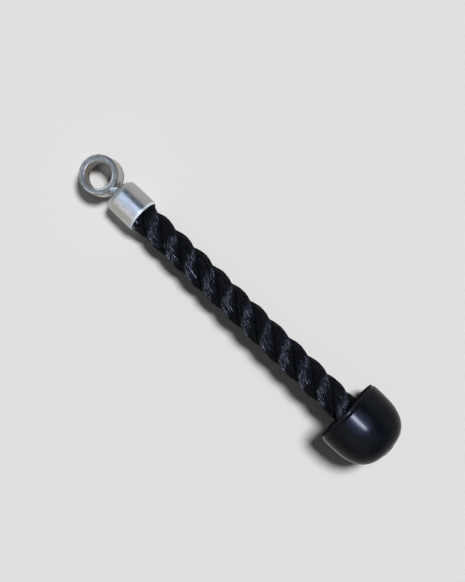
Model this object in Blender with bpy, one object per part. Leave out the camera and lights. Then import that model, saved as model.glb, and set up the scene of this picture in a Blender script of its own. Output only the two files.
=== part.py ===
"""Single-hand triceps rope: a laid rope with a welded steel eye on a swivel at one end and a rubber ball at the other.

It lies on a floor as it is put down: the rubber ball and the closed end of the steel ferrule touch the floor, so the
rope's line climbs a little from the ferrule to the ball. All pieces are placed along that line. "Along" is the
distance from the ferrule's mouth, positive towards the ball, and the eye is on the negative side.
"""

import math

import bmesh
import bpy
from mathutils import Vector

MM = 0.001

# Gap between pieces that touch, and how far a cutting shape runs past what it cuts
SEAT_GAP = 0.3 * MM
CUT_OVERRUN = 4.0 * MM

# Laid rope: three strands with a right-hand lay
ROPE_RADIUS = 15.2 * MM
STRAND_RADIUS = 6.75 * MM
ROPE_LAY = 77.4 * MM
ROPE_CREST_AT = 20.0 * MM
STRANDS = 3
GRIP_LENGTH = 277.6 * MM

# The rope is thicker where the ferrule holds it, and settles to its own size past the mouth
MOUTH_SWELL = 1.0 * MM
SWELL_SETTLES_AT = 15.0 * MM

# Ferrule: a drawn steel cup, crimped on the rope, with a hole for the swivel's stem in its closed end
FERRULE_RADIUS = 18.0 * MM
FERRULE_LENGTH = 34.6 * MM
FERRULE_WALL = 1.5 * MM
FERRULE_END_WALL = 3.2 * MM
FERRULE_CORNER = 7.4 * MM
FERRULE_INNER_CORNER = 4.0 * MM
FERRULE_LIP_LENGTH = 1.8 * MM
FERRULE_LIP_DROP = 0.7 * MM

# Eye: a short length of thick steel tube on its side, which the cable's clip goes through
EYE_OUTER_RADIUS = 19.5 * MM
EYE_WALL = 5.5 * MM
EYE_DEPTH = 24.0 * MM
EYE_EDGE = 1.8 * MM

# Stem: a stud welded to the eye, which turns in the ferrule's closed end
STEM_RADIUS = 5.0 * MM
NECK_LENGTH = 4.4 * MM
WELD_LEG = 2.4 * MM
STEM_TIP_CHAMFER = 0.8 * MM
STEM_PAST_NUT = 1.2 * MM

# Washer and lock nut that hold the stem inside the ferrule
WASHER_RADIUS = 11.0 * MM
WASHER_THICKNESS = 1.6 * MM
NUT_ACROSS_FLATS = 16.0 * MM
NUT_THICKNESS = 6.0 * MM
NUT_EDGE = 0.6 * MM

# Rubber ball: flat towards the hand, with a nose that narrows to a small flat
BALL_RADIUS = 36.0 * MM
BALL_LENGTH = 55.2 * MM
BALL_FACE_EDGE = 4.0 * MM
BALL_FACE_DRAFT = 0.6 * MM
BALL_CROWN_AT = 11.0 * MM
BALL_FLAT_RADIUS = 13.0 * MM
BALL_NOSE_POWER = 2.8
BALL_NOSE_STEPS = 9
BALL_MOUTH_EDGE = 1.0 * MM
BALL_POCKET_AT = 27.0 * MM

# Crimp sleeve that keeps the rope's end in the ball's pocket, and the plug in the ball's small hole
SLEEVE_LENGTH = 15.0 * MM
SLEEVE_WALL = 2.2 * MM
SLEEVE_EDGE = 0.6 * MM
ROPE_PAST_SLEEVE = 1.2 * MM
PLUG_RADIUS = 7.7 * MM
PLUG_PROUD = 1.6 * MM
PLUG_DOME = 0.9 * MM

# How finely round shapes are divided
TURNED_SIDES = 32
EYE_SIDES = 48
SMALL_SIDES = 24
STRAND_SIDES = 12
SECTIONS_PER_LAY = 20
EDGE_STEPS = 3
CORNER_STEPS = 4
SHARP_ANGLE = math.radians(32)

# Places along the line that several pieces share
EYE_AT = -FERRULE_LENGTH - NECK_LENGTH - EYE_OUTER_RADIUS
FERRULE_FLOOR_AT = -FERRULE_LENGTH + FERRULE_END_WALL
WASHER_AT = FERRULE_FLOOR_AT + SEAT_GAP
NUT_AT = WASHER_AT + WASHER_THICKNESS + SEAT_GAP
STEM_TIP_AT = NUT_AT + NUT_THICKNESS + STEM_PAST_NUT
ROPE_START = STEM_TIP_AT + SEAT_GAP
BEND_AT = GRIP_LENGTH / 2
SLEEVE_AT = GRIP_LENGTH + BALL_POCKET_AT + SEAT_GAP
ROPE_END = SLEEVE_AT + SLEEVE_LENGTH + ROPE_PAST_SLEEVE
POCKET_END = ROPE_END + SEAT_GAP
BALL_END = GRIP_LENGTH + BALL_LENGTH

# Radii that fit one piece in another
HELIX_RADIUS = ROPE_RADIUS - STRAND_RADIUS
STRAND_WIDTH = STRAND_RADIUS * math.hypot(ROPE_LAY, 2 * math.pi * HELIX_RADIUS) / ROPE_LAY
FERRULE_BORE = FERRULE_RADIUS - FERRULE_WALL
STEM_HOLE = STEM_RADIUS + SEAT_GAP
ROPE_HOLE = ROPE_RADIUS + SEAT_GAP
SLEEVE_RADIUS = ROPE_HOLE + SLEEVE_WALL
POCKET_RADIUS = SLEEVE_RADIUS + SEAT_GAP
PLUG_HOLE = PLUG_RADIUS + SEAT_GAP


def finish(name, base_color, metallic, roughness):
    """A plain material with the piece's own colour."""
    material = bpy.data.materials.new(name)
    material.use_nodes = True
    shader = material.node_tree.nodes["Principled BSDF"]
    shader.inputs["Base Color"].default_value = (*base_color, 1.0)
    shader.inputs["Metallic"].default_value = metallic
    shader.inputs["Roughness"].default_value = roughness
    return material


def arc(centre_along, centre_radius, size, start_degrees, end_degrees, steps):
    """Points of a round corner in an outline: 0 degrees is towards the ball, 90 degrees is away from the axis."""
    points = []
    for step in range(steps + 1):
        angle = math.radians(start_degrees + (end_degrees - start_degrees) * step / steps)
        points.append((centre_along + size * math.cos(angle), centre_radius + size * math.sin(angle)))
    return points


def add_piece(name, data, material, parent, along=0.0):
    """Put a mesh in the scene, on the rope's line, under the empty that carries it."""
    piece = bpy.data.objects.new(name, data)
    bpy.context.scene.collection.objects.link(piece)
    piece.parent = parent
    piece.location = (along, 0.0, 0.0)
    data.materials.append(material)
    return piece


def turned_mesh(name, outline, sides, open_ends=False):
    """Turn an outline of (along, radius) points about the X axis. One flat side faces down.

    A closed outline gives a piece with a hole through it. An outline with open ends starts and stops on the axis.
    """
    bm = bmesh.new()
    lean = math.pi / 2 + math.pi / sides
    verts = [bm.verts.new((a, r * math.cos(lean), r * math.sin(lean))) for a, r in outline]
    pairs = list(zip(verts, verts[1:]))
    if not open_ends:
        pairs.append((verts[-1], verts[0]))
    edges = [bm.edges.new(pair) for pair in pairs]
    bmesh.ops.spin(
        bm,
        geom=verts + edges,
        cent=(0, 0, 0),
        axis=(1, 0, 0),
        angle=2 * math.pi,
        steps=sides,
        use_merge=True,
    )
    bmesh.ops.remove_doubles(bm, verts=bm.verts, dist=SEAT_GAP / 100)
    bmesh.ops.recalc_face_normals(bm, faces=bm.faces)
    mesh = bpy.data.meshes.new(name)
    bm.to_mesh(mesh)
    bm.free()
    mesh.shade_smooth()
    mesh.set_sharp_from_angle(angle=SHARP_ANGLE)
    return mesh


def cut_with(piece, cutter):
    """Cut a piece with a hidden tool, which stays out of the model."""
    cutter.hide_render = True
    cutter.display_type = "WIRE"
    cut = piece.modifiers.new("cut", "BOOLEAN")
    cut.operation = "DIFFERENCE"
    cut.object = cutter


def rounded_box_outline(low_along, high_along, low_radius, high_radius, edge, steps):
    """A rectangle with round corners, for a tube, a sleeve or a washer."""
    outline = arc(high_along - edge, high_radius - edge, edge, 0, 90, steps)
    outline += arc(low_along + edge, high_radius - edge, edge, 90, 180, steps)
    outline += arc(low_along + edge, low_radius + edge, edge, 180, 270, steps)
    outline += arc(high_along - edge, low_radius + edge, edge, 270, 360, steps)
    return outline


def make_ferrule(material, parent):
    """Cup with a round closed end, a hole for the stem and a drawn-in lip round its mouth."""
    closed = -FERRULE_LENGTH
    outline = [(closed, STEM_HOLE)]
    outline += arc(closed + FERRULE_CORNER, FERRULE_RADIUS - FERRULE_CORNER, FERRULE_CORNER, 180, 90, CORNER_STEPS)
    outline += [
        (-FERRULE_LIP_LENGTH, FERRULE_RADIUS),
        (-FERRULE_LIP_LENGTH / 3, FERRULE_RADIUS - FERRULE_LIP_DROP / 3),
        (0.0, FERRULE_RADIUS - FERRULE_LIP_DROP),
        (0.0, FERRULE_BORE + FERRULE_WALL / 4),
        (-FERRULE_WALL / 4, FERRULE_BORE),
    ]
    inner = arc(
        FERRULE_FLOOR_AT + FERRULE_INNER_CORNER,
        FERRULE_BORE - FERRULE_INNER_CORNER,
        FERRULE_INNER_CORNER,
        90,
        180,
        EDGE_STEPS,
    )
    outline += inner + [(FERRULE_FLOOR_AT, STEM_HOLE)]
    add_piece("ferrule", turned_mesh("ferrule", outline, TURNED_SIDES), material, parent)


def make_eye_ring(material, parent):
    """Thick tube on its side: its hole runs square to the rope's line, so a clip hooks through it."""
    half = EYE_DEPTH / 2
    outline = rounded_box_outline(-half, half, EYE_OUTER_RADIUS - EYE_WALL, EYE_OUTER_RADIUS, EYE_EDGE, EDGE_STEPS)
    ring = add_piece("eye_ring", turned_mesh("eye_ring", outline, EYE_SIDES), material, parent, EYE_AT)
    ring.rotation_euler = (0.0, -math.pi / 2, 0.0)


def make_eye_stem(material, parent):
    """Stud with a weld fillet where it meets the eye, and a chamfered tip past the nut."""
    weld_foot = -FERRULE_LENGTH - NECK_LENGTH
    root = weld_foot - EYE_WALL / 2
    outline = [(root, 0.0), (root, STEM_RADIUS + WELD_LEG), (weld_foot, STEM_RADIUS + WELD_LEG)]
    outline += arc(weld_foot + WELD_LEG, STEM_RADIUS + WELD_LEG, WELD_LEG, 180, 270, EDGE_STEPS)[1:]
    outline += [
        (STEM_TIP_AT - STEM_TIP_CHAMFER, STEM_RADIUS),
        (STEM_TIP_AT, STEM_RADIUS - STEM_TIP_CHAMFER),
        (STEM_TIP_AT, 0.0),
    ]
    stem = add_piece("eye_stem", turned_mesh("eye_stem", outline, SMALL_SIDES, open_ends=True), material, parent)

    # The stem's outer end is hollowed to sit on the round wall of the eye
    reach = STEM_RADIUS + WELD_LEG + CUT_OVERRUN
    seat_radius = EYE_OUTER_RADIUS + SEAT_GAP
    seat = [(-reach, 0.0), (-reach, seat_radius), (reach, seat_radius), (reach, 0.0)]
    cutter_mesh = turned_mesh("eye_seat_cutter", seat, EYE_SIDES, open_ends=True)
    cutter = add_piece("eye_seat_cutter", cutter_mesh, material, parent, EYE_AT)
    cutter.rotation_euler = (0.0, -math.pi / 2, 0.0)
    cut_with(stem, cutter)


def make_thrust_washer(material, parent):
    """Flat washer between the ferrule's closed end and the nut."""
    outline = [
        (0.0, STEM_HOLE),
        (0.0, WASHER_RADIUS),
        (WASHER_THICKNESS, WASHER_RADIUS),
        (WASHER_THICKNESS, STEM_HOLE),
    ]
    add_piece("thrust_washer", turned_mesh("thrust_washer", outline, SMALL_SIDES), material, parent, WASHER_AT)


def make_lock_nut(material, parent):
    """Thin hexagon nut, with its corners turned off on both faces."""
    corner = NUT_ACROSS_FLATS / 2 / math.cos(math.pi / 6)
    outline = [
        (0.0, 0.0),
        (0.0, corner - NUT_EDGE),
        (NUT_EDGE / 2, corner),
        (NUT_THICKNESS - NUT_EDGE / 2, corner),
        (NUT_THICKNESS, corner - NUT_EDGE),
        (NUT_THICKNESS, 0.0),
    ]
    nut = add_piece("lock_nut", turned_mesh("lock_nut", outline, 6, open_ends=True), material, parent, NUT_AT)
    bore = [
        (-CUT_OVERRUN, 0.0),
        (-CUT_OVERRUN, STEM_HOLE),
        (NUT_THICKNESS + CUT_OVERRUN, STEM_HOLE),
        (NUT_THICKNESS + CUT_OVERRUN, 0.0),
    ]
    cutter_mesh = turned_mesh("nut_bore_cutter", bore, SMALL_SIDES, open_ends=True)
    cut_with(nut, add_piece("nut_bore_cutter", cutter_mesh, material, parent, NUT_AT))


def swell_share(along):
    """1 inside the ferrule, 0 on the free rope, with a smooth change between."""
    reach = min(max(along / SWELL_SETTLES_AT, 0.0), 1.0)
    return 1.0 - reach * reach * (3.0 - 2.0 * reach)


def strand_section(along, turn_offset):
    """One square-cut section of a strand: an oval, wider round the rope because the strand crosses it at a slant."""
    angle = 2 * math.pi * ((along - ROPE_CREST_AT) / ROPE_LAY + turn_offset)
    outward = Vector((0.0, math.cos(angle), math.sin(angle)))
    sideways = Vector((0.0, -math.sin(angle), math.cos(angle)))
    centre = Vector((along - BEND_AT, 0.0, 0.0)) + outward * (HELIX_RADIUS + MOUTH_SWELL * swell_share(along))
    points = []
    for side in range(STRAND_SIDES):
        around = 2 * math.pi * (side + 0.5) / STRAND_SIDES
        points.append(centre + outward * STRAND_RADIUS * math.cos(around) + sideways * STRAND_WIDTH * math.sin(around))
    return points


def make_strand(name, turn_offset, material, parent):
    """One strand of the laid rope, on a right-hand helix about the rope's line, cut square at both ends."""
    bm = bmesh.new()
    steps = round((ROPE_END - ROPE_START) / ROPE_LAY * SECTIONS_PER_LAY)
    rings = []
    for step in range(steps + 1):
        along = ROPE_START + (ROPE_END - ROPE_START) * step / steps
        rings.append([bm.verts.new(point) for point in strand_section(along, turn_offset)])
    for ring, following in zip(rings, rings[1:]):
        for side in range(STRAND_SIDES):
            after = (side + 1) % STRAND_SIDES
            bm.faces.new((ring[side], ring[after], following[after], following[side]))
    bm.faces.new(rings[0])
    bm.faces.new(rings[-1])
    bmesh.ops.recalc_face_normals(bm, faces=bm.faces)
    mesh = bpy.data.meshes.new(name)
    bm.to_mesh(mesh)
    bm.free()
    mesh.shade_smooth()
    mesh.set_sharp_from_angle(angle=SHARP_ANGLE)
    add_piece(name, mesh, material, parent)


def ball_nose():
    """Points from the ball's widest place to the small flat at its end, along a squared-off round curve."""
    crown = GRIP_LENGTH + BALL_CROWN_AT
    flat_share = BALL_FLAT_RADIUS / BALL_RADIUS
    last_share = (1.0 - flat_share**BALL_NOSE_POWER) ** (1.0 / BALL_NOSE_POWER)
    reach = (BALL_END - crown) / last_share
    last_angle = math.asin(last_share)
    points = []
    for step in range(BALL_NOSE_STEPS + 1):
        share = math.sin(last_angle * step / BALL_NOSE_STEPS)
        radius = BALL_RADIUS * (1.0 - share**BALL_NOSE_POWER) ** (1.0 / BALL_NOSE_POWER)
        points.append((crown + reach * share, radius))
    return points


def make_rubber_ball(material, parent):
    """Moulded ball with a bore for the rope, a wider pocket for the crimped end and a small hole at its nose."""
    face_radius = BALL_RADIUS - BALL_FACE_DRAFT
    outline = [(GRIP_LENGTH + BALL_MOUTH_EDGE, ROPE_HOLE), (GRIP_LENGTH, ROPE_HOLE + BALL_MOUTH_EDGE)]
    outline += arc(
        GRIP_LENGTH + BALL_FACE_EDGE,
        face_radius - BALL_FACE_EDGE,
        BALL_FACE_EDGE,
        180,
        90,
        CORNER_STEPS,
    )
    outline += ball_nose()
    outline += [
        (BALL_END, PLUG_HOLE),
        (POCKET_END, PLUG_HOLE),
        (POCKET_END, POCKET_RADIUS),
        (GRIP_LENGTH + BALL_POCKET_AT, POCKET_RADIUS),
        (GRIP_LENGTH + BALL_POCKET_AT, ROPE_HOLE),
    ]
    local = [(along - BEND_AT, radius) for along, radius in outline]
    add_piece("rubber_ball", turned_mesh("rubber_ball", local, TURNED_SIDES), material, parent)


def make_rope_end_sleeve(material, parent):
    """Steel sleeve crimped round the rope's end inside the ball's pocket."""
    outline = rounded_box_outline(0.0, SLEEVE_LENGTH, ROPE_HOLE, SLEEVE_RADIUS, SLEEVE_EDGE, 1)
    mesh = turned_mesh("rope_end_sleeve", outline, TURNED_SIDES)
    add_piece("rope_end_sleeve", mesh, material, parent, SLEEVE_AT - BEND_AT)


def make_end_plug(material, parent):
    """Rubber plug in the small hole at the ball's nose, with a low dome that stands proud of the flat."""
    tip = BALL_END + PLUG_PROUD
    outline = [
        (POCKET_END + SEAT_GAP, 0.0),
        (POCKET_END + SEAT_GAP, PLUG_RADIUS),
        (tip - PLUG_DOME, PLUG_RADIUS),
        (tip - PLUG_DOME / 3, PLUG_RADIUS - PLUG_DOME),
        (tip, PLUG_RADIUS / 2),
        (tip, 0.0),
    ]
    local = [(along - BEND_AT, radius) for along, radius in outline]
    add_piece("end_plug", turned_mesh("end_plug", local, SMALL_SIDES, open_ends=True), material, parent)


def add_empty(name, parent=None, along=0.0):
    """A bare point that carries pieces and marks a joint."""
    empty = bpy.data.objects.new(name, None)
    bpy.context.scene.collection.objects.link(empty)
    empty.parent = parent
    empty.location = (along, 0.0, 0.0)
    return empty


def lying_slope():
    """Slope of the rope's line when the ball's widest ring and the start of the ferrule's round corner both touch."""
    down_share = math.cos(math.pi / TURNED_SIDES)
    rise = (BALL_RADIUS - FERRULE_RADIUS) * down_share
    run = GRIP_LENGTH + BALL_CROWN_AT + FERRULE_LENGTH - FERRULE_CORNER
    return math.atan2(rise, run)


def put_down(line):
    """Tilt the line to its lying slope, then move it so that the model stands centred on the origin."""
    line.rotation_euler = (0.0, -lying_slope(), 0.0)
    bpy.context.view_layer.update()
    depsgraph = bpy.context.evaluated_depsgraph_get()
    points = []
    for piece in bpy.context.scene.objects:
        if piece.type == "EMPTY" or piece.hide_render:
            continue
        shown = piece.evaluated_get(depsgraph)
        mesh = shown.to_mesh()
        points += [shown.matrix_world @ vertex.co for vertex in mesh.vertices]
        shown.to_mesh_clear()
    low = Vector([min(point[axis] for point in points) for axis in range(3)])
    high = Vector([max(point[axis] for point in points) for axis in range(3)])
    line.location = (-(low.x + high.x) / 2, -(low.y + high.y) / 2, -low.z)


def build():
    """Make every piece on its carrier, then lay the whole thing down."""
    for old in list(bpy.data.objects):
        bpy.data.objects.remove(old)

    line = add_empty("rope_line")
    swivel = add_empty("eye_swivel_axis", line)
    bend = add_empty("rope_bend_axis", line, BEND_AT)

    make_eye_ring(finish("eye_steel", (0.48, 0.50, 0.54), 1.0, 0.30), swivel)
    make_eye_stem(finish("stem_steel", (0.56, 0.58, 0.61), 1.0, 0.34), swivel)
    make_thrust_washer(finish("washer_steel", (0.52, 0.53, 0.55), 1.0, 0.40), swivel)
    make_lock_nut(finish("nut_steel", (0.50, 0.51, 0.53), 1.0, 0.38), swivel)
    make_ferrule(finish("ferrule_steel", (0.62, 0.62, 0.61), 1.0, 0.32), line)
    for strand in range(STRANDS):
        name = f"rope_strand_{strand + 1}"
        make_strand(name, strand / STRANDS, finish(f"{name}_nylon", (0.012, 0.013, 0.017), 0.0, 0.5), bend)
    make_rubber_ball(finish("ball_rubber", (0.014, 0.015, 0.018), 0.0, 0.42), bend)
    make_rope_end_sleeve(finish("sleeve_steel", (0.55, 0.56, 0.58), 1.0, 0.42), bend)
    make_end_plug(finish("plug_rubber", (0.016, 0.015, 0.015), 0.0, 0.55), bend)
    put_down(line)


build()
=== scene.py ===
"""Looks of a single-hand triceps rope: a steel eye on a swivel, a drawn steel ferrule, a black laid rope and a rubber
ball.

It lies on the floor on its ball and its ferrule, so the rope's line climbs a little. Every piece is turned or laid
along that line first and then put down. "Along" is the distance from the ferrule's mouth, positive towards the ball.
Sizes of pieces and patterns are in millimetres; places in the room are in metres.
"""

import math

import bpy
import numpy as np
from mathutils import Matrix, Vector


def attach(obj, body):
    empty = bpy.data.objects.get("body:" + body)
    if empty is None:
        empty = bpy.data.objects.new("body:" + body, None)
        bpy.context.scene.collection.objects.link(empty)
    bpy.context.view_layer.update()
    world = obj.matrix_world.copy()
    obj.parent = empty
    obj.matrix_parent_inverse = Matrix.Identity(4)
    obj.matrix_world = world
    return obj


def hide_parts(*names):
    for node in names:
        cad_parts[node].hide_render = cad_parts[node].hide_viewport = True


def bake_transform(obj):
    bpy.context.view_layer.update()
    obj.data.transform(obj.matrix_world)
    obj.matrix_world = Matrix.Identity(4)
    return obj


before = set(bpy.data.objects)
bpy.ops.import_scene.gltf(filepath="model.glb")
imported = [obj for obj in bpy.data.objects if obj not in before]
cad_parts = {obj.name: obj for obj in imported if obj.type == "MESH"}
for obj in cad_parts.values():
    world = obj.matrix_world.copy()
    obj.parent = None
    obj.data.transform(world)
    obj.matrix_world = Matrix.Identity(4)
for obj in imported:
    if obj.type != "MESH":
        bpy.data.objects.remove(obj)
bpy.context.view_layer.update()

MM = 0.001

# Where the rope's line lies: the ferrule's mouth and the slope, as in the CAD model
MOUTH = Vector((-0.127834, 0.0, 0.019425))
SLOPE = math.radians(3.24655)
LINE = Matrix.Translation(MOUTH) @ Matrix.Rotation(-SLOPE, 4, "Y")
LINE_WAY = Vector((math.cos(SLOPE), 0.0, math.sin(SLOPE)))

# Camera: above the floor, almost square to it, and rolled so that the rope runs from upper left to lower right
CAMERA_AT = Vector((0.039623, 0.038927, 0.930788))
TOWARDS_CAMERA = Vector((0.055044, 0.034682, 0.997882)).normalized()
CAMERA_ROLL = math.radians(43.671)
FOCAL_LENGTH, SENSOR_WIDTH = 56.907, 36.0

# The rope's direction and the one across it, as the camera sees them
ALONG_ROPE = (LINE_WAY - TOWARDS_CAMERA * LINE_WAY.dot(TOWARDS_CAMERA)).normalized()
ACROSS_ROPE = TOWARDS_CAMERA.cross(ALONG_ROPE)

# Rope: its crests lie on ROPE_RADIUS, each strand's back is an arc of STRAND_BACK, and it swells at the ferrule
GRIP = 277.6
ROPE_RADIUS = 15.2
STRAND_BACK = 10.3
ROPE_LAY = 77.4
ROPE_CREST_AT = 21.6
MOUTH_SWELL = 1.0
SWELL_SETTLES_AT = 15.0
ROPE_FROM, ROPE_TO = -6.0, 283.6

# Seams between strands, as seen from the rope's middle: the strand's edge rolls down into the seam by SEAM_DROP
SEAM, SEAM_EDGE, SEAM_DROP = math.radians(59.9), math.radians(51), 0.9

# Yarns of each strand: YARN_TURN is one turn round the strand, and YARN_WANDER is how far a yarn strays, in yarns
# sideways and in millimetres up and down. WANDER_WAVES are the lengths of its waves, the longest first
YARNS, POINTS_PER_YARN, RING_STEP = 27, 4, 1.6
YARN_DEPTH, YARN_ROUNDNESS = 0.6, 2.2
YARN_TURN = 76.0
YARN_WANDER, WANDER_WAVES = 0.26, (79.1, 42.94, 23.73, 13.56, 7.91)

# Stray fibres: each tapers and is laid in a few steps
FIBRES, FIBRE_STEPS, FIBRE_SIDES = 220, 3, 3
FIBRE_RADIUS, FIBRE_TAPER = 0.15, 0.75

# Ferrule, and the stem's hole in its closed end
FERRULE_RADIUS, FERRULE_LENGTH, FERRULE_END_WALL = 18.0, 34.6, 3.2
FERRULE_CORNER, FERRULE_INNER_CORNER, FERRULE_BORE = 7.4, 4.0, 16.5
STEM_HOLE, STEM_HOLE_EDGE = 5.3, 0.5

# Eye, turned a little on its swivel
EYE_AT, EYE_OUTER, EYE_INNER, EYE_HALF = -58.7, 20.4, 13.65, 12.0
EYE_EDGE, EYE_CROWN, EYE_CROWN_AT = 1.2, 12.0, 18.0
EYE_ROLL = math.radians(4)

# Stem, and the weld at its foot: it starts at WELD_FROM and is full WELD_GROWS further on. There it is narrower
# along the ring by WELD_NARROWS, and climbs up and down the ring's wall by the other two shares
STEM_NECK, STEM_TIP = 4.8, -21.8
WELD_FROM, WELD_GROWS, WELD_ASIDE = -35.4, 2.4, 1.2
WELD_NARROWS, WELD_CLIMBS_UP, WELD_CLIMBS_DOWN = 0.28, 1.3, 0.72

# Ball: its nose narrows by a power curve from the crown to the small flat
BALL_RADIUS, BALL_END, BALL_FLAT = 36.1, 331.9, 13.0
BALL_CROWN_AT, BALL_NOSE_POWER, BALL_NOSE_STEPS = GRIP + 11.0, 2.8, 28
ROPE_HOLE, ROPE_HOLE_EDGE, BALL_FACE_EDGE = 15.6, 1.2, 0.9
POCKET_AT, POCKET_RADIUS = GRIP + 27.0, 18.0
PLUG_HOLE, PLUG_HOLE_DEPTH = 8.0, 11.0
PLUG_RADIUS, PLUG_TIP, PLUG_EDGE = 7.8, 333.7, 0.8


def sRGB(code, alpha=1.0):
    """A colour written as hex, turned to the linear values that a shader takes."""
    parts = [int(code[i : i + 2], 16) / 255 for i in (1, 3, 5)]
    linear = [p / 12.92 if p <= 0.04045 else ((p + 0.055) / 1.055) ** 2.4 for p in parts]
    return (*linear, alpha)


# The floor and the backdrop have one colour
BACKDROP = sRGB("#e0e0e0")


# Putting things in the scene
def add_object(name, data):
    """Put a lamp, a camera or a mesh in the scene."""
    made = bpy.data.objects.new(name, data)
    bpy.context.scene.collection.objects.link(made)
    return made


def facing(right, towards):
    """The turn that points X to the right and Z the way it faces."""
    return Matrix((right, towards.cross(right), towards)).transposed().to_4x4()


def make_camera():
    """The camera that sees the part as the photograph does."""
    lens = bpy.data.cameras.new("camera")
    lens.sensor_width, lens.lens = SENSOR_WIDTH, FOCAL_LENGTH
    lens.clip_start, lens.clip_end = 0.01, 60.0
    camera = add_object("camera", lens)
    right = ALONG_ROPE * math.cos(CAMERA_ROLL) + ACROSS_ROPE * math.sin(CAMERA_ROLL)
    camera.matrix_world = Matrix.Translation(CAMERA_AT) @ facing(right, TOWARDS_CAMERA)
    bpy.context.scene.camera = camera


# How materials are put together
def add_node(tree, kind, options=None, sockets=None):
    """Add a node, set its options, and set or link its sockets."""
    made = tree.nodes.new(kind)
    for option, value in (options or {}).items():
        setattr(made, option, value)
    for socket, value in (sockets or {}).items():
        if isinstance(value, bpy.types.NodeSocket):
            tree.links.new(value, made.inputs[socket])
        else:
            made.inputs[socket].default_value = value
    return made


def start_material(name, **fixed):
    """A material named for its real finish, with the numbers that are the same all over it."""
    material = bpy.data.materials.new(name)
    material.use_nodes = True
    tree = material.node_tree
    shader = tree.nodes["Principled BSDF"]
    for socket, value in fixed.items():
        shader.inputs[socket.replace("_", " ")].default_value = value
    return material, tree, shader


def line_place(tree, along=0.0, turn=(0.0, -SLOPE, 0.0)):
    """Object coordinates in millimetres from a place on the rope's line, with X along the line."""
    place = add_node(tree, "ShaderNodeTexCoord").outputs["Object"]
    return add_node(
        tree,
        "ShaderNodeMapping",
        {"vector_type": "TEXTURE"},
        {"Vector": place, "Location": MOUTH + LINE_WAY * along * MM, "Rotation": turn, "Scale": (MM, MM, MM)},
    ).outputs["Vector"]


def eye_place(tree):
    """Object coordinates in millimetres from the middle of the eye, with X along the line and Z along the bore."""
    return line_place(tree, EYE_AT, (EYE_ROLL, -SLOPE, 0.0))


def number_math(tree, operation, *values):
    """A sum on numbers or patterns."""
    return add_node(tree, "ShaderNodeMath", {"operation": operation}, dict(enumerate(values))).outputs[0]


def vector_math(tree, operation, first, second):
    """A number from two vectors, such as the distance between them."""
    made = add_node(tree, "ShaderNodeVectorMath", {"operation": operation}, {0: first, 1: second})
    return made.outputs["Value"]


def noise(tree, place, sizes, detail=3.0, roughness=0.6):
    """Uneven values about 0.5, with patches of the given sizes in each direction."""
    patches = add_node(
        tree, "ShaderNodeMapping", {"vector_type": "TEXTURE"}, {"Vector": place, "Scale": sizes}
    ).outputs["Vector"]
    return add_node(
        tree,
        "ShaderNodeTexNoise",
        None,
        {"Vector": patches, "Scale": 1.0, "Detail": detail, "Roughness": roughness},
    ).outputs["Fac"]


def ranged(tree, value, low, high, to_low, to_high):
    """A value carried from one range to another, and held at its ends."""
    return add_node(
        tree,
        "ShaderNodeMapRange",
        {"interpolation_type": "SMOOTHSTEP"},
        {"Value": value, "From Min": low, "From Max": high, "To Min": to_low, "To Max": to_high},
    ).outputs["Result"]


def mixed(tree, share, first, second):
    """One colour or the other, by share."""
    return add_node(tree, "ShaderNodeMix", {"data_type": "RGBA"}, {0: share, 6: first, 7: second}).outputs[2]


def two_tone(tree, pattern, low, high, first, second, most=1.0):
    """The first colour where a pattern is at its low value, and up to most of the second at its high value."""
    return mixed(tree, ranged(tree, pattern, low, high, 0.0, most), first, second)


def dressed(tree, shader, colour, roughness=None):
    """Link the surface's colour, and its roughness where that varies."""
    tree.links.new(colour, shader.inputs["Base Color"])
    if roughness is not None:
        tree.links.new(roughness, shader.inputs["Roughness"])


def bumped(tree, shader, height, depth, strength):
    """Raise and sink the surface by a pattern."""
    made = add_node(
        tree, "ShaderNodeBump", None, {"Height": height, "Distance": depth * MM, "Strength": strength}
    )
    tree.links.new(made.outputs["Normal"], shader.inputs["Normal"])


def ferrule_steel():
    """Drawn steel, plated and brushed along its length: fine lengthwise streaks smear the lights into bands."""
    material, tree, shader = start_material("brushed_plated_steel_cup", Metallic=1.0, Roughness=0.3)
    place = line_place(tree)
    streaks = noise(tree, place, (22.0, 0.55, 0.55))
    clouds = noise(tree, place, (9.0, 3.0, 3.0))
    colour = two_tone(tree, streaks, 0.3, 0.7, sRGB("#bdbdbb"), sRGB("#d6d6d5"))
    colour = two_tone(tree, clouds, 0.35, 0.75, colour, sRGB("#9e9d9a"), most=0.3)
    dressed(tree, shader, colour, ranged(tree, clouds, 0.3, 0.7, 0.22, 0.36))
    bumped(tree, shader, streaks, 0.045, 0.7)
    return material


def lip_steel_painted_highlight():
    """The cup's lip: whiter and bluer than the plating and less metallic, a painted highlight all round the rim. A fine
    scratch pattern varies its colour and its bump.
    """
    material, tree, shader = start_material("ferrule_lip_painted_highlight", Metallic=0.55, Roughness=0.32)
    scratches = noise(tree, line_place(tree), (0.5, 1.2, 1.2))
    dressed(tree, shader, two_tone(tree, scratches, 0.35, 0.65, sRGB("#c9d2e2"), sRGB("#f2f6ff")))
    bumped(tree, shader, scratches, 0.03, 0.5)
    return material


def eye_steel():
    """The ring's turned face, dull plated: round tool lines and a greyer cloudiness where hands and clips wear it."""
    material, tree, shader = start_material("turned_plated_steel_face", Metallic=1.0, Roughness=0.3)
    place = eye_place(tree)
    lines = noise(tree, place, (14.0, 14.0, 0.45))
    clouds = noise(tree, place, (5.0, 5.0, 3.0))
    colour = two_tone(tree, lines, 0.35, 0.7, sRGB("#747370"), sRGB("#93918d"))
    colour = two_tone(tree, clouds, 0.4, 0.75, colour, sRGB("#6b6865"), most=0.5)
    dressed(tree, shader, colour, ranged(tree, clouds, 0.3, 0.7, 0.2, 0.36))
    bumped(tree, shader, lines, 0.04, 0.5)
    return material


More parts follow.
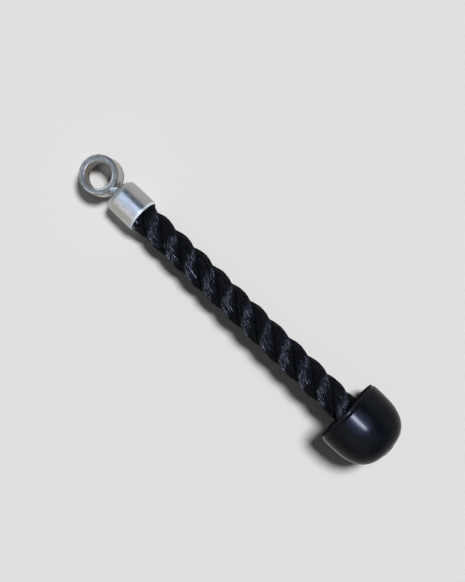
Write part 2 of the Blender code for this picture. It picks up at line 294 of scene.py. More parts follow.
def ring_steel(name, dark, light, worn, darkens_from, darkens_to):
    """The ring's turned wall or bore: lines run round it, and towards the back it turns a darker brown. In the bore
    this brown, darkest deep in, is painted shade for the shadowed hole that the bore reflects; on the wall it is a dark
    brown band along the back edge.
    """
    material, tree, shader = start_material(name, Roughness=0.36, Specular_IOR_Level=0.1)
    place = eye_place(tree)
    lines = noise(tree, place, (12.0, 12.0, 0.5))
    colour = two_tone(tree, lines, 0.3, 0.7, sRGB(dark), sRGB(light))
    # Towards the back the colour turns raggedly to the darker brown: painted shade in the bore, a dark back edge on the
    # wall
    deep = add_node(tree, "ShaderNodeSeparateXYZ", None, {"Vector": place}).outputs["Z"]
    patches = noise(tree, place, (5.0, 5.0, 3.0), detail=4.0)
    ragged = number_math(tree, "MULTIPLY_ADD", patches, 7.0, deep)
    wear = ranged(tree, ragged, darkens_from, darkens_to, 0.0, 1.0)
    colour = mixed(tree, wear, colour, sRGB(worn))
    # Where it is darker brown it is also less metallic
    tree.links.new(ranged(tree, wear, 0.0, 1.0, 1.0, 0.4), shader.inputs["Metallic"])
    # Painted shade: the steel is darkened beside the weld, where the wall meets the stem and the ferrule's end
    from_weld = vector_math(tree, "DISTANCE", place, (EYE_OUTER, 0.0, 0.0))
    dressed(tree, shader, mixed(tree, ranged(tree, from_weld, 6.5, 11.0, 0.85, 0.0), colour, sRGB("#4a403c")))
    bumped(tree, shader, lines, 0.04, 0.5)
    return material


def weld_steel():
    """Weld steel drawn very pale and bluish: a painted highlight, so that it looks bright from all sides. It is drawn a
    duller grey in its hollows, painted shade.
    """
    material, tree, shader = start_material("weld_steel_painted_highlight", Metallic=0.35, Roughness=0.45)
    lumps = noise(tree, eye_place(tree), (1.6, 1.6, 1.6))
    # Painted highlight: the pale bluish colours stand for the weld's bright reflection, and the darker tone in the
    # hollows is painted shade
    colour = two_tone(tree, lumps, 0.35, 0.65, sRGB("#c4d8f0"), sRGB("#ecf5ff"))
    dressed(tree, shader, colour, ranged(tree, lumps, 0.3, 0.7, 0.55, 0.4))
    bumped(tree, shader, lumps, 0.12, 0.7)
    return material


def hidden_steel(name, light, dark):
    """Plain zinc-plated hardware: a soft mottle from the plating bath."""
    material, tree, shader = start_material(name, Metallic=1.0, Roughness=0.38)
    spangle = noise(tree, line_place(tree), (2.5, 2.5, 2.5), detail=4.0)
    colour = two_tone(tree, spangle, 0.35, 0.65, sRGB(dark), sRGB(light))
    dressed(tree, shader, colour, ranged(tree, spangle, 0.3, 0.7, 0.45, 0.3))
    bumped(tree, shader, spangle, 0.03, 0.5)
    return material


def rope_nylon():
    """Black twisted nylon: glossy filaments catch bluish glints along each yarn, and the hollows between stay black."""
    material, tree, shader = start_material("black_twisted_nylon", Roughness=0.16, IOR=1.53, Specular_IOR_Level=0.02)
    # Across a strand the patterns are measured in yarns, each about 2.4 mm wide
    yarn = add_node(tree, "ShaderNodeUVMap", {"uv_map": "yarns"}).outputs["UV"]
    # A filament is about 0.05 mm thick; it is drawn about 0.3 mm wide so that it shows
    filaments = noise(tree, yarn, (7.0, 0.11, 1.0), detail=2.0)
    # Tufts where filaments are pulled and crushed break a glint into dots. They are drawn coarser than real ones,
    # so that the dots are large enough to see
    tufts = noise(tree, yarn, (5.5, 0.55, 1.0), detail=1.0, roughness=0.5)
    surface = number_math(tree, "MULTIPLY_ADD", tufts, 10.0, filaments)
    worn = noise(tree, yarn, (9.0, 1.3, 1.0))
    colour = two_tone(tree, worn, 0.35, 0.7, sRGB("#0a0c0f"), sRGB("#16181e"))
    dressed(tree, shader, colour, ranged(tree, worn, 0.3, 0.7, 0.2, 0.12))
    bumped(tree, shader, surface, 0.04, 1.0)
    return material


def ball_rubber():
    """Moulded black rubber: satin skin with a very fine grain that softens the lamp's glint into a halo."""
    material, tree, shader = start_material("moulded_black_rubber", Roughness=0.15, IOR=1.5, Specular_IOR_Level=0.08)
    place = line_place(tree)
    grain = noise(tree, place, (0.5, 0.5, 0.5))
    bloom = noise(tree, place, (18.0, 18.0, 18.0), roughness=0.55)
    colour = two_tone(tree, bloom, 0.35, 0.7, sRGB("#0b0e13"), sRGB("#111419"))
    dressed(tree, shader, colour, ranged(tree, bloom, 0.3, 0.7, 0.14, 0.18))
    # Slow waves left by the mould make the glint bead a little
    waves = noise(tree, place, (6.0, 4.0, 4.0), detail=1.0, roughness=0.5)
    bumped(tree, shader, number_math(tree, "MULTIPLY_ADD", waves, 19.0, grain), 0.008, 0.4)
    return material


def matt_face_rubber():
    """The same rubber where the mould was left rough, on the face towards the hand: no gloss at any angle. It is drawn
    a lighter grey than the body, a painted sheen in place of the face's sheen at a grazing angle.
    """
    material, tree, shader = start_material("ball_face_rubber_painted_sheen", Roughness=0.9, Specular_IOR_Level=0.0)
    grain = noise(tree, line_place(tree), (0.9, 0.9, 0.9), detail=4.0)
    dressed(tree, shader, two_tone(tree, grain, 0.35, 0.7, sRGB("#26272d"), sRGB("#37383f")))
    bumped(tree, shader, grain, 0.05, 0.5)
    return material


def plug_rubber():
    """Softer black rubber plug, matt and a little dusty."""
    material, tree, shader = start_material("matt_black_rubber_plug", Roughness=0.6, IOR=1.5, Specular_IOR_Level=0.1)
    dust = noise(tree, line_place(tree), (1.5, 1.5, 1.5), detail=4.0)
    dressed(tree, shader, two_tone(tree, dust, 0.4, 0.75, sRGB("#0f0d0d"), sRGB("#211e1c")))
    bumped(tree, shader, dust, 0.03, 0.5)
    return material


# Turned pieces
def turned(name, outline, sides):
    """Draw half a piece's outline by extruding a point from place to place, then spin it about X."""
    bpy.ops.object.select_all(action="DESELECT")
    first = Vector((outline[0][0], 0.0, outline[0][1])) * MM
    bpy.ops.mesh.primitive_plane_add(size=MM, calc_uvs=False, location=first)
    piece = bpy.context.object
    piece.name = piece.data.name = name
    bpy.ops.object.transform_apply(location=True, rotation=True, scale=True)
    bpy.ops.object.mode_set(mode="EDIT")
    bpy.ops.mesh.select_all(action="SELECT")
    bpy.ops.mesh.merge(type="CENTER")
    for (along, radius), (next_along, next_radius) in zip(outline, outline[1:]):
        step = ((next_along - along) * MM, 0.0, (next_radius - radius) * MM)
        bpy.ops.mesh.extrude_region_move(TRANSFORM_OT_translate={"value": step})
    bpy.ops.mesh.select_all(action="SELECT")
    bpy.ops.mesh.spin(steps=sides, angle=2 * math.pi, center=(0, 0, 0), axis=(1, 0, 0))
    bpy.ops.mesh.select_all(action="SELECT")
    bpy.ops.mesh.remove_doubles(threshold=0.002 * MM)
    bpy.ops.mesh.normals_make_consistent(inside=False)
    bpy.ops.object.mode_set(mode="OBJECT")
    return piece


def arc(along, radius, size, start, end, steps):
    """Points of a round corner in an outline, in degrees: 0 points along the line, 90 away from it."""
    turns = [math.radians(start + (end - start) * step / steps) for step in range(steps + 1)]
    return [(along + size * math.cos(turn), radius + size * math.sin(turn)) for turn in turns]


def chosen_faces(piece, test):
    """Faces of a turned piece whose middle passes a test on its distance along the axis and its radius."""
    middles = [(face.index, face.center.x / MM, face.center.yz.length / MM) for face in piece.data.polygons]
    return [index for index, along, radius in middles if test(along, radius)]


def cover_faces(piece, faces, material):
    """Give some of a piece's faces a second material."""
    piece.data.materials.append(material)
    for index in faces:
        piece.data.polygons[index].material_index = len(piece.data.materials) - 1


def put_on_line(piece, material, body, stands_for, along=0.0, upright=False, crease=30.0, roll=0.0):
    """Lay a finished shape on the rope's line, give it its surface and tie it to its body."""
    place = LINE @ Matrix.Translation((along * MM, 0.0, 0.0)) @ Matrix.Rotation(roll, 4, "X")
    piece.matrix_world = place @ Matrix.Rotation(-math.pi / 2, 4, "Y") if upright else place
    bpy.ops.object.select_all(action="DESELECT")
    piece.select_set(True)
    bpy.context.view_layer.objects.active = piece
    bpy.ops.object.transform_apply(location=True, rotation=True, scale=True)
    bpy.ops.object.shade_smooth_by_angle(angle=math.radians(crease))
    piece.data.materials.clear()
    piece.data.materials.append(material)
    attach(piece, body)
    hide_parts(*stands_for)


def make_ferrule(material, edge_material):
    """Cup with a round closed end, a turned-down bright lip and a hole for the stem."""
    cup_floor = -FERRULE_LENGTH + FERRULE_END_WALL
    outline = [(cup_floor, STEM_HOLE), (-FERRULE_LENGTH + STEM_HOLE_EDGE, STEM_HOLE)]
    outline += [(-FERRULE_LENGTH, STEM_HOLE + STEM_HOLE_EDGE)]
    outline += arc(-FERRULE_LENGTH + FERRULE_CORNER, FERRULE_RADIUS - FERRULE_CORNER, FERRULE_CORNER, 180, 90, 12)
    # Places on the straight wall keep its shading even
    outline += [(along, FERRULE_RADIUS) for along in (-24.0, -16.0, -8.0, -2.2)]
    outline += [(-1.5, 17.98), (-0.9, 17.9), (-0.2, 17.76), (0.3, 17.6)] + arc(0.7, 16.85, 0.75, 80, 0, 5)
    outline += [(1.4, FERRULE_BORE), (0.9, 16.42), (-8.0, 16.42), (-20.0, FERRULE_BORE)]
    inner_corner = FERRULE_BORE - FERRULE_INNER_CORNER
    outline += arc(cup_floor + FERRULE_INNER_CORNER, inner_corner, FERRULE_INNER_CORNER, 90, 180, 5)
    outline += [outline[0]]
    piece = turned("ferrule_cup", outline, 96)
    # The lip's faces get the steel whose pale colour is a painted highlight
    lip_faces = chosen_faces(piece, lambda along, radius: along > -0.6 and radius > 16.45)
    put_on_line(piece, material, "ferrule", ["ferrule"])
    cover_faces(piece, lip_faces, edge_material)
    return piece


def make_eye_ring(face_material, bore_material, wall_material):
    """Thick tube on its side: its front face is crowned near the outside, and its bore opens at the back."""
    outline = arc(EYE_HALF - 1.27, EYE_OUTER - EYE_EDGE, EYE_EDGE, 90, 8, 5)
    outline += arc(EYE_HALF - EYE_CROWN, EYE_CROWN_AT, EYE_CROWN, 5, -19.5, 10)
    outline += arc(10.75, 14.2, 0.6, -35, -90, 4)
    opening = ((8.0, 0.0), (0.0, 0.2), (-5.0, 0.5), (-8.0, 1.2), (-10.2, 2.2), (-11.4, 3.0), (-EYE_HALF, 3.9))
    outline += [(across, EYE_INNER + opened) for across, opened in opening] + [(-EYE_HALF, EYE_OUTER - 1.4)]
    outline += arc(-EYE_HALF + EYE_EDGE, EYE_OUTER - EYE_EDGE, EYE_EDGE, 180, 90, 5)
    outline += [(-4.0, EYE_OUTER), (4.0, EYE_OUTER), outline[0]]
    piece = turned("eye_ring_turned", outline, 128)
    bore = chosen_faces(piece, lambda across, radius: across < 10.6 and radius < 17.4)
    wall = chosen_faces(piece, lambda across, radius: across < 10.8 and radius > EYE_OUTER - 0.3)
    # At the back the wall's surface goes on round the corner
    wall += chosen_faces(piece, lambda across, radius: across < -10.0 and radius > EYE_OUTER - 1.4)
    put_on_line(piece, face_material, "eye", ["eye_ring"], EYE_AT, upright=True, roll=EYE_ROLL)
    cover_faces(piece, bore, bore_material)
    cover_faces(piece, wall, wall_material)
    return piece


def make_stem(material):
    """Stud from the eye into the ferrule, with a lumpy weld at its foot that climbs the ring's wall."""
    outline = [(-42.2, 0.0), (-42.2, 3.4), (-41.4, 4.4), (-39.9, 5.2), (-38.8, 5.6), (-37.9, 5.6), (-37.3, 5.45)]
    outline += [(-36.7, 5.2), (-36.1, 4.95)]
    outline += [(along, STEM_NECK) for along in (-35.5, -34.9, -30.0, -22.6)] + [(STEM_TIP, 4.2), (STEM_TIP, 0.0)]
    piece = turned("eye_stem_welded", outline, 48)
    # The weld was laid as a row of small overlapping drops
    for vertex in piece.data.vertices:
        along, radius = vertex.co.x / MM, math.hypot(vertex.co.y, vertex.co.z) / MM
        if along < WELD_FROM and radius > 4.0:
            grown = min(1.0, (WELD_FROM - along) / WELD_GROWS)
            around = math.atan2(vertex.co.z, vertex.co.y)
            drops = 1.0 + grown * (0.05 * abs(math.sin(around * 7.0)) + 0.03 * math.sin(around * 3.0 + 1.0))
            climbs = WELD_CLIMBS_UP if vertex.co.z > 0.0 else WELD_CLIMBS_DOWN
            vertex.co.y = vertex.co.y * drops * (1.0 - WELD_NARROWS * grown) - WELD_ASIDE * MM * grown
            vertex.co.z *= drops * (1.0 + climbs * grown)
    put_on_line(piece, material, "eye", ["eye_stem"], crease=50.0, roll=EYE_ROLL)
    return piece


def ball_outline():
    """The ball from the rope's bore over its face, its fine lip and its nose to the small flat and the plug's hole."""
    outline = [(GRIP + 22.0, ROPE_HOLE), (GRIP + ROPE_HOLE_EDGE, ROPE_HOLE)]
    outline += arc(GRIP + ROPE_HOLE_EDGE, ROPE_HOLE + ROPE_HOLE_EDGE, ROPE_HOLE_EDGE, 270, 180, 4)
    outline += [(GRIP, radius) for radius in (20.0, 26.0, 30.5)]
    outline += arc(GRIP + BALL_FACE_EDGE, 33.7, BALL_FACE_EDGE, 180, 110, 6)
    # A narrow raised lip, a fine groove and a soft step up to the body
    lip = ((0.7, 34.6), (0.9, 34.67), (1.8, 34.67), (1.95, 34.56), (2.15, 34.58), (2.35, 34.8), (2.6, 35.1))
    step_up = ((2.95, 35.36), (3.35, 35.6), (3.8, 35.78), (4.3, 35.89), (4.9, 35.96), (6.0, 36.0))
    body = ((7.7, 36.04), (9.4, 36.08))
    outline += [(GRIP + from_face, radius) for from_face, radius in lip + step_up + body]
    last = (1.0 - (BALL_FLAT / BALL_RADIUS) ** BALL_NOSE_POWER) ** (1.0 / BALL_NOSE_POWER)
    reach = (BALL_END - BALL_CROWN_AT) / last
    for step in range(BALL_NOSE_STEPS + 1):
        share = math.sin(math.asin(last) * step / BALL_NOSE_STEPS)
        radius = BALL_RADIUS * (1.0 - share**BALL_NOSE_POWER) ** (1.0 / BALL_NOSE_POWER)
        outline.append((BALL_CROWN_AT + reach * share, radius))
    # A low bead round the flat, then the plug's hole and the pocket for the rope's end
    outline += [(BALL_END + 0.15, 12.5), (BALL_END + 0.2, 12.1), (BALL_END + 0.05, 11.7), (BALL_END, 11.2)]
    outline += [(BALL_END, PLUG_HOLE + 0.6), (BALL_END - 0.5, PLUG_HOLE), (BALL_END - PLUG_HOLE_DEPTH, PLUG_HOLE)]
    outline += [(BALL_END - PLUG_HOLE_DEPTH, POCKET_RADIUS), (POCKET_AT, POCKET_RADIUS), (POCKET_AT, ROPE_HOLE)]
    return outline + [outline[0]]


def make_ball(material, face_material):
    """The ball, with the mould's rough finish on its face; the face's lighter grey is painted sheen."""
    piece = turned("ball_moulded", ball_outline(), 128)
    rough = chosen_faces(piece, lambda along, radius: along < GRIP + 0.7 and radius > ROPE_HOLE + 0.1)
    put_on_line(piece, material, "ball", ["rubber_ball"])
    cover_faces(piece, rough, face_material)
    return piece


def make_plug(material):
    """Plug in the ball's small hole, with a low dome."""
    outline = [(BALL_END - 10.6, 0.0), (BALL_END - 10.6, 7.4)]
    outline += [(BALL_END - 10.0, PLUG_RADIUS), (BALL_END + 0.5, PLUG_RADIUS)]
    outline += arc(BALL_END + 0.6, PLUG_RADIUS - PLUG_EDGE, PLUG_EDGE, 80, 10, 4)
    outline += [(PLUG_TIP - 0.1, 4.5), (PLUG_TIP, 2.5), (PLUG_TIP, 0.0)]
    piece = turned("end_plug_domed", outline, 64)
    put_on_line(piece, material, "ball", ["end_plug"])
    return piece


# Rope: three strands, each of many yarns
def strand_points(along, turn_offset, around, proud):
    """Points of one strand: where along the rope, which way round the strand, and how proud of its surface.

    Its neighbours press it, so it fills a third of the rope: a broad round back, and edges that roll into the seams.
    """
    settle = np.clip(along / SWELL_SETTLES_AT, 0.0, 1.0)
    swell = MOUTH_SWELL * (1.0 - settle * settle * (3.0 - 2.0 * settle))
    out = ROPE_RADIUS - STRAND_BACK + swell + (STRAND_BACK + proud) * np.cos(around)
    side = (STRAND_BACK + proud) * np.sin(around)
    bearing = np.arctan2(side, out)
    rolled = np.clip((np.abs(bearing) - SEAM_EDGE) / (SEAM - SEAM_EDGE), 0.0, 1.0)
    reach = np.hypot(out, side) - SEAM_DROP * rolled**2
    angle = 2 * math.pi * ((along - ROPE_CREST_AT) / ROPE_LAY + turn_offset) + np.clip(bearing, -SEAM, SEAM)
    return np.stack([along + 0.0 * around, reach * np.cos(angle), reach * np.sin(angle)], axis=-1)


def wander(chance, along):
    """How far each point round a strand strays from its place, from a few summed waves for each yarn."""
    total = np.zeros((len(along), YARNS))
    for length in WANDER_WAVES:
        phase = chance.uniform(0, 2 * math.pi, YARNS)
        size = chance.normal(0, 1, YARNS) * (length / WANDER_WAVES[0]) ** 0.3
        total += size * np.sin(2 * math.pi * along[:, None] / length + phase)
    strays = np.repeat(total * YARN_WANDER / 2.0, POINTS_PER_YARN, axis=1)
    # Each yarn's first point is in the hollow before it, so it strays by the mean of the two yarns there
    hollows = strays[:, ::POINTS_PER_YARN]
    strays[:, ::POINTS_PER_YARN] = 0.5 * (hollows + np.roll(hollows, 1, axis=1))
    return strays


def lay_yarns(chance, along):
    """Where a strand's points lie: which way round it, and how proud. Yarns wander sideways, and up and down."""
    sideways = wander(chance, along)
    up_and_down = wander(chance, along)
    yarn = (np.arange(YARNS * POINTS_PER_YARN) / POINTS_PER_YARN)[None, :]
    around = 2 * math.pi * ((yarn + sideways) / YARNS - along[:, None] / YARN_TURN)
    roundness = -np.abs(2.0 * (yarn % 1.0) - 1.0) ** YARN_ROUNDNESS
    return around, YARN_DEPTH * roundness + up_and_down


def add_yarn_mesh(name, points, faces, uvs, material):
    """A mesh laid on the rope's line. Its map holds the distance along the rope and the yarn's number."""
    mesh = bpy.data.meshes.new(name)
    mesh.from_pydata([tuple(LINE @ Vector(p * MM)) for p in points], [], faces)
    mesh.uv_layers.new(name="yarns").data.foreach_set("uv", np.array(uvs, np.float32).ravel())
    mesh.shade_smooth()
    mesh.materials.append(material)
    return add_object(name, mesh)


def make_rope(material):
    """The rope as one mesh: mesh edges follow the yarns, and the edges in the hollows between yarns are sharp."""
    chance = np.random.RandomState(11)
    rings = round((ROPE_TO - ROPE_FROM) / RING_STEP)
    along = np.linspace(ROPE_FROM, ROPE_TO, rings + 1)
    columns = YARNS * POINTS_PER_YARN
    points, faces, uvs, sharp = [], [], [], []
    for strand in range(3):
        around, proud = lay_yarns(chance, along)
        first = len(points)
        points.extend(strand_points(along[:, None], strand / 3, around, proud).reshape(-1, 3))
        for ring in range(rings):
            here, ahead = first + ring * columns, first + (ring + 1) * columns
            low, high = along[ring], along[ring + 1]
            for column in range(columns):
                after = (column + 1) % columns
                faces.append((here + column, here + after, ahead + after, ahead + column))
                yarn, yarn_after = column / POINTS_PER_YARN, (column + 1) / POINTS_PER_YARN
                uvs.extend(((low, yarn), (low, yarn_after), (high, yarn_after), (high, yarn)))
                if column % POINTS_PER_YARN == 0:
                    sharp.append((here + column, ahead + column))
        faces.append(tuple(first + column for column in reversed(range(columns))))
        faces.append(tuple(first + rings * columns + column for column in range(columns)))
        for end in (along[0], along[-1]):
            uvs.extend((end, column / POINTS_PER_YARN) for column in range(columns))
    rope = add_yarn_mesh("laid_rope", points, faces, uvs, material)
    edges = {edge.key: edge for edge in rope.data.edges}
    for pair in sharp:
        edges[tuple(sorted(pair))].use_edge_sharp = True
    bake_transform(rope)
    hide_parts("rope_strand_1", "rope_strand_2", "rope_strand_3")
    return rope


def make_stray_fibres(material):
    """Short broken filaments that stand a little off the rope, each a thin tapering prism."""
    chance = np.random.RandomState(5)
    points, faces, uvs = [], [], []
    for _ in range(FIBRES):
        start, strand = chance.uniform(6, 268), chance.randint(3)
        turn = chance.uniform(-1.5, 1.5)
        reach, rise, lean = chance.uniform(2.0, 4.6), chance.uniform(0.3, 1.9), chance.normal(0, 0.35)
        direction = chance.choice((-1.0, 1.0))
        first = len(points)
        for step in range(FIBRE_STEPS + 1):
            share = step / FIBRE_STEPS
            at = start + direction * reach * share
            around = turn - 2 * math.pi * direction * reach * share / YARN_TURN + lean * share * 0.3
            middle = strand_points(at, strand / 3, around, -0.25 + rise * share**1.6)
            thick = FIBRE_RADIUS * (1.0 - FIBRE_TAPER * share)
            for corner in range(FIBRE_SIDES):
                bearing = 2 * math.pi * corner / FIBRE_SIDES
                points.append(middle + np.array((0.0, thick * math.cos(bearing), thick * math.sin(bearing))))
        for step in range(FIBRE_STEPS):
            ring = first + step * FIBRE_SIDES
            for corner in range(FIBRE_SIDES):
                a, b = ring + corner, ring + (corner + 1) % FIBRE_SIDES
                a_ahead, b_ahead = a + FIBRE_SIDES, b + FIBRE_SIDES
                faces.append((a, b, b_ahead, a_ahead) if direction > 0 else (a, a_ahead, b_ahead, b))
                uvs.extend(((step, corner),) * 4)
        root = tuple(first + corner for corner in reversed(range(FIBRE_SIDES)))
        tip = tuple(first + FIBRE_STEPS * FIBRE_SIDES + corner for corner in range(FIBRE_SIDES))
        faces.extend((root, tip) if direction > 0 else (root[::-1], tip[::-1]))
        uvs.extend(((0.0, 0.0),) * 2 * FIBRE_SIDES)
    fibres = add_yarn_mesh("stray_fibres", points, faces, uvs, material)
    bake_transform(fibres)
    return fibres


# Hidden hardware keeps its CAD shape
def dress_hardware():
    """Surfaces for the washer, the nut and the sleeve, each a slightly different grey."""
    for node, light, dark in (
        ("thrust_washer", "#c2c4c8", "#a4a5a9"),
        ("lock_nut", "#bfc0c4", "#9b9ca1"),
        ("rope_end_sleeve", "#c6c8cb", "#a8abb0"),
    ):
        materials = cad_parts[node].data.materials
        materials.clear()
        materials.append(hidden_steel("zinc_plated_" + node, light, dark))


# Floor and light
KEY_STRENGTH, KEY_WIDTH, KEY_LEAN = 3.24, math.radians(14), math.radians(23.5)

# The hole lamp: the place on the floor that it shines at, its direction from there, and its distance
HOLE_SPOT_AT = Vector((-0.19004, 0.01002, 0.0))
HOLE_LAMP_WAY = Vector((0.2394, 0.0343, 0.9704))
HOLE_LAMP_DISTANCE, HOLE_LAMP_POWER = 0.6, 1.7
HOLE_LAMP_WIDTH, HOLE_LAMP_RADIUS = math.radians(2.2), 0.004

SOFTBOX_DISTANCE = 6.0

# The room that glossy surfaces see, in degrees across the rope from the camera's direction
ROOM = (
    (-90, "#b6b2ac"), (-79, "#c4c2c0"), (-68, "#e6e8ea"), (-54, "#f4f6f8"), (-42, "#eef3fa"), (-30, "#d8e6ff"),
    (17, "#d8e6ff"), (24, "#3c4a64"), (46, "#38465e"), (62, "#c4c4c3"), (90, "#c2c2c1"),
)


def for_glossy(tree, ray):
    """1 for rays that leave a glossy or a clear surface, and 0 for all others."""
    return number_math(tree, "MAXIMUM", ray["Is Glossy Ray"], ray["Is Transmission Ray"])


def make_floor():
    """Plain pale floor. Glossy surfaces see it as an even pale sheet, without the object's own shadow."""
    bpy.ops.object.select_all(action="DESELECT")
    bpy.ops.mesh.primitive_plane_add(size=12.0, location=(0.0, 0.0, 0.0))
    floor = bpy.context.object
    floor.name = "floor"
    material = bpy.data.materials.new("plain_pale_floor")
    material.use_nodes = True
    tree = material.node_tree
    tree.nodes.clear()
    paper = add_node(tree, "ShaderNodeBsdfDiffuse", None, {"Color": BACKDROP}).outputs[0]
    sheet = add_node(tree, "ShaderNodeEmission", None, {"Color": sRGB("#cfcecc"), "Strength": 1.0}).outputs[0]
    shiny = for_glossy(tree, add_node(tree, "ShaderNodeLightPath").outputs)
    both = add_node(tree, "ShaderNodeMixShader", None, {0: shiny, 1: paper, 2: sheet}).outputs[0]
    add_node(tree, "ShaderNodeOutputMaterial", None, {"Surface": both})
    floor.data.materials.append(material)
    return floor


def light_only(lamp, pieces):
    """Let a lamp light nothing but the given pieces."""
    lit = bpy.data.collections.new(lamp.name + "_lights_only")
    for piece in pieces:
        lit.objects.link(piece)
    lamp.light_linking.receiver_collection = lit


def make_key_light():
    """One soft key lamp, which gives nearly all the light and the shadow towards the picture's lower left."""
    lamp = bpy.data.lights.new("key", "SUN")
    lamp.energy, lamp.angle = KEY_STRENGTH, KEY_WIDTH
    key = add_object("key", lamp)
    source = TOWARDS_CAMERA * math.cos(KEY_LEAN) + ACROSS_ROPE * math.sin(KEY_LEAN)
    key.rotation_mode = "QUATERNION"
    key.rotation_quaternion = source.to_track_quat("Z", "Y")
    key.visible_glossy = False


def make_hole_lamp(floor):
    """A small lamp that shines down through the eye's hole and lifts the shadow on the floor there."""
    lamp = bpy.data.lights.new("hole_lamp", "SPOT")
    lamp.energy = HOLE_LAMP_POWER
    lamp.spot_size, lamp.spot_blend = HOLE_LAMP_WIDTH, 1.0
    lamp.shadow_soft_size = HOLE_LAMP_RADIUS
    spot = add_object("hole_lamp", lamp)
    spot.location = HOLE_SPOT_AT + HOLE_LAMP_WAY * HOLE_LAMP_DISTANCE
    spot.rotation_mode = "QUATERNION"
    spot.rotation_quaternion = HOLE_LAMP_WAY.to_track_quat("Z", "Y")
    spot.visible_glossy = False
    light_only(spot, [floor])


def make_softbox(
    name, along, across, size_along, size_across, colour, strength, pieces, shape="RECTANGLE", slant=0.0
):
    """A studio lamp that only glossy surfaces see: where it stands and how large it looks, in degrees.

    The angles are seen from the object, along the rope and across it, from the camera's direction.
    """
    aside = ALONG_ROPE * math.tan(math.radians(along)) + ACROSS_ROPE * math.tan(math.radians(across))
    source = (TOWARDS_CAMERA + aside).normalized()
    lamp = bpy.data.lights.new(name, "AREA")
    lamp.shape = shape
    lamp.size = 2 * SOFTBOX_DISTANCE * math.tan(math.radians(size_along / 2))
    lamp.size_y = 2 * SOFTBOX_DISTANCE * math.tan(math.radians(size_across / 2))
    lamp.color = sRGB(colour)[:3]
    lamp.energy = strength * math.pi * lamp.size * lamp.size_y
    softbox = add_object(name, lamp)
    right = (ALONG_ROPE - source * ALONG_ROPE.dot(source)).normalized()
    slanted = facing(right, source) @ Matrix.Rotation(-math.radians(slant), 4, "Z")
    softbox.matrix_world = Matrix.Translation(source * SOFTBOX_DISTANCE) @ slanted
    light_only(softbox, pieces)
    softbox.visible_camera = False
    softbox.visible_diffuse = False
    softbox.visible_transmission = False


def room_colour(tree):
    """Colour of the room by direction: bands across the rope, and dimmer far along it."""
    way = add_node(tree, "ShaderNodeTexCoord").outputs["Generated"]
    across = vector_math(tree, "DOT_PRODUCT", way, ACROSS_ROPE)
    towards = vector_math(tree, "DOT_PRODUCT", way, TOWARDS_CAMERA)
    angle = number_math(tree, "ARCTAN2", across, towards)
    half_turn = {"Value": angle, "From Min": -math.pi / 2, "From Max": math.pi / 2}
    share = add_node(tree, "ShaderNodeMapRange", None, half_turn).outputs["Result"]
    ramp = add_node(tree, "ShaderNodeValToRGB", None, {0: share})
    while len(ramp.color_ramp.elements) < len(ROOM):
        ramp.color_ramp.elements.new(0.5)
    for element, (degrees, colour) in zip(ramp.color_ramp.elements, ROOM):
        element.position = degrees / 180 + 0.5
        element.color = sRGB(colour)
    along = vector_math(tree, "DOT_PRODUCT", way, ALONG_ROPE)
    room = two_tone(tree, number_math(tree, "ABSOLUTE", along), 0.55, 0.92, ramp.outputs[0], sRGB("#7c7e84"))
    # The room is dimmer on the eye's side
    return two_tone(tree, along, -0.42, -0.56, room, sRGB("#a4a9b0"))


def make_studio():
    """World: a pale backdrop, a little even fill, and for glossy surfaces a pale room with a dark gap."""
    world = bpy.data.worlds.new("studio")
    bpy.context.scene.world = world
    world.use_nodes = True
    tree = world.node_tree
    tree.nodes.clear()
    ray = add_node(tree, "ShaderNodeLightPath").outputs
    backgrounds = []
    for colour, strength in ((sRGB("#ffffff"), 0.072), (room_colour(tree), 1.1), (BACKDROP, 1.0)):
        made = add_node(tree, "ShaderNodeBackground", None, {"Color": colour, "Strength": strength})
        backgrounds.append(made.outputs[0])
    fill, room, backdrop = backgrounds
    lit = add_node(tree, "ShaderNodeMixShader", None, {0: for_glossy(tree, ray), 1: fill, 2: room}).outputs[0]
    seen = add_node(tree, "ShaderNodeMixShader", None, {0: ray["Is Camera Ray"], 1: lit, 2: backdrop}).outputs[0]
    add_node(tree, "ShaderNodeOutputWorld", None, {"Surface": seen})


make_camera()
nylon = rope_nylon()
rope = make_rope(nylon)
fibres = make_stray_fibres(nylon)

ferrule = make_ferrule(ferrule_steel(), lip_steel_painted_highlight())
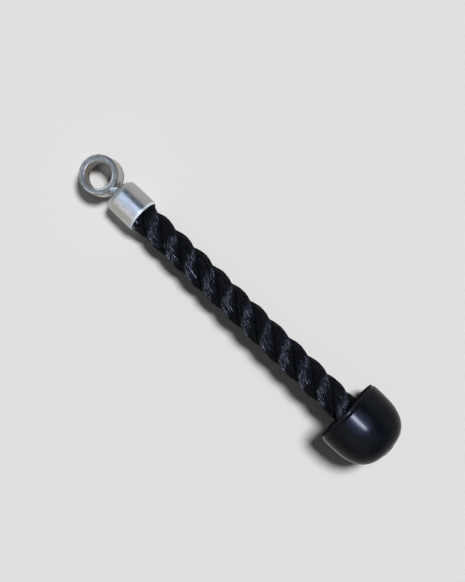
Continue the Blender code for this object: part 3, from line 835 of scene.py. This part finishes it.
# The bore's browns are painted shade: they stand for the shadowed hole that the bore reflects, darker deeper in
bore_steel = ring_steel("bore_steel_painted_shade", "#6b5b4e", "#857664", "#47392d", 12.5, -0.5)
wall_steel = ring_steel("turned_pale_steel_wall", "#b2b0ad", "#cccac7", "#4c3f37", -2.6, -5.8)
ring = make_eye_ring(eye_steel(), bore_steel, wall_steel)
stem = make_stem(weld_steel())
ball = make_ball(ball_rubber(), matt_face_rubber())
plug = make_plug(plug_rubber())
dress_hardware()

make_hole_lamp(make_floor())
make_key_light()
make_studio()

# A hard strip's glint on the ball, in a bluish halo that fades outwards
make_softbox("strip_for_ball", -0.3, 0.3, 18.0, 8.0, "#f4f4ff", 76.0, [ball, plug])
make_softbox("near_halo_for_ball", -0.3, -0.5, 22.0, 20.0, "#b4c6ff", 13.0, [ball, plug], "ELLIPSE")
make_softbox("halo_for_ball", -0.3, 0.0, 27.0, 38.0, "#acc0ff", 5.8, [ball, plug], "ELLIPSE")
make_softbox("far_halo_for_ball", -0.3, 0.0, 36.0, 66.0, "#a6baff", 2.3, [ball, plug], "ELLIPSE")

# Glints across the strands' backs, on their upper sides and along the rope's lower edge
make_softbox("strip_for_rope", -8.0, -12.0, 6.0, 56.0, "#d2deff", 140.0, [rope, fibres], slant=18.0)
make_softbox("upper_strip_for_rope", 9.0, 50.0, 12.0, 36.0, "#c4d2ff", 95.0, [rope, fibres])
make_softbox("edge_strip_for_rope", -15.0, -76.0, 26.0, 20.0, "#cad8ff", 145.0, [rope, fibres])

# Bright bands on the steel, and a cool sky for the ring's outer side and the weld
make_softbox("strip_for_ferrule", -1.0, 3.0, 18.0, 24.0, "#e8f0ff", 2.8, [ferrule])
make_softbox("strip_for_ring", 2.0, -8.0, 8.0, 54.0, "#e8f0ff", 4.2, [ring])
make_softbox("sky_for_ring", -52.0, -4.0, 18.0, 60.0, "#dce8ff", 3.4, [ring])
make_softbox("top_strip_for_ring", -25.0, -22.0, 10.0, 12.0, "#dce8ff", 2.6, [ring])
make_softbox("sky_for_weld", -14.0, 0.0, 60.0, 50.0, "#d2e2ff", 2.4, [stem])
make_softbox("sky_for_ferrule", -20.0, -3.0, 34.0, 40.0, "#a6c4ff", 0.36, [ferrule])

bpy.context.scene.view_settings.view_transform = "Standard"
bpy.context.view_layer.update()
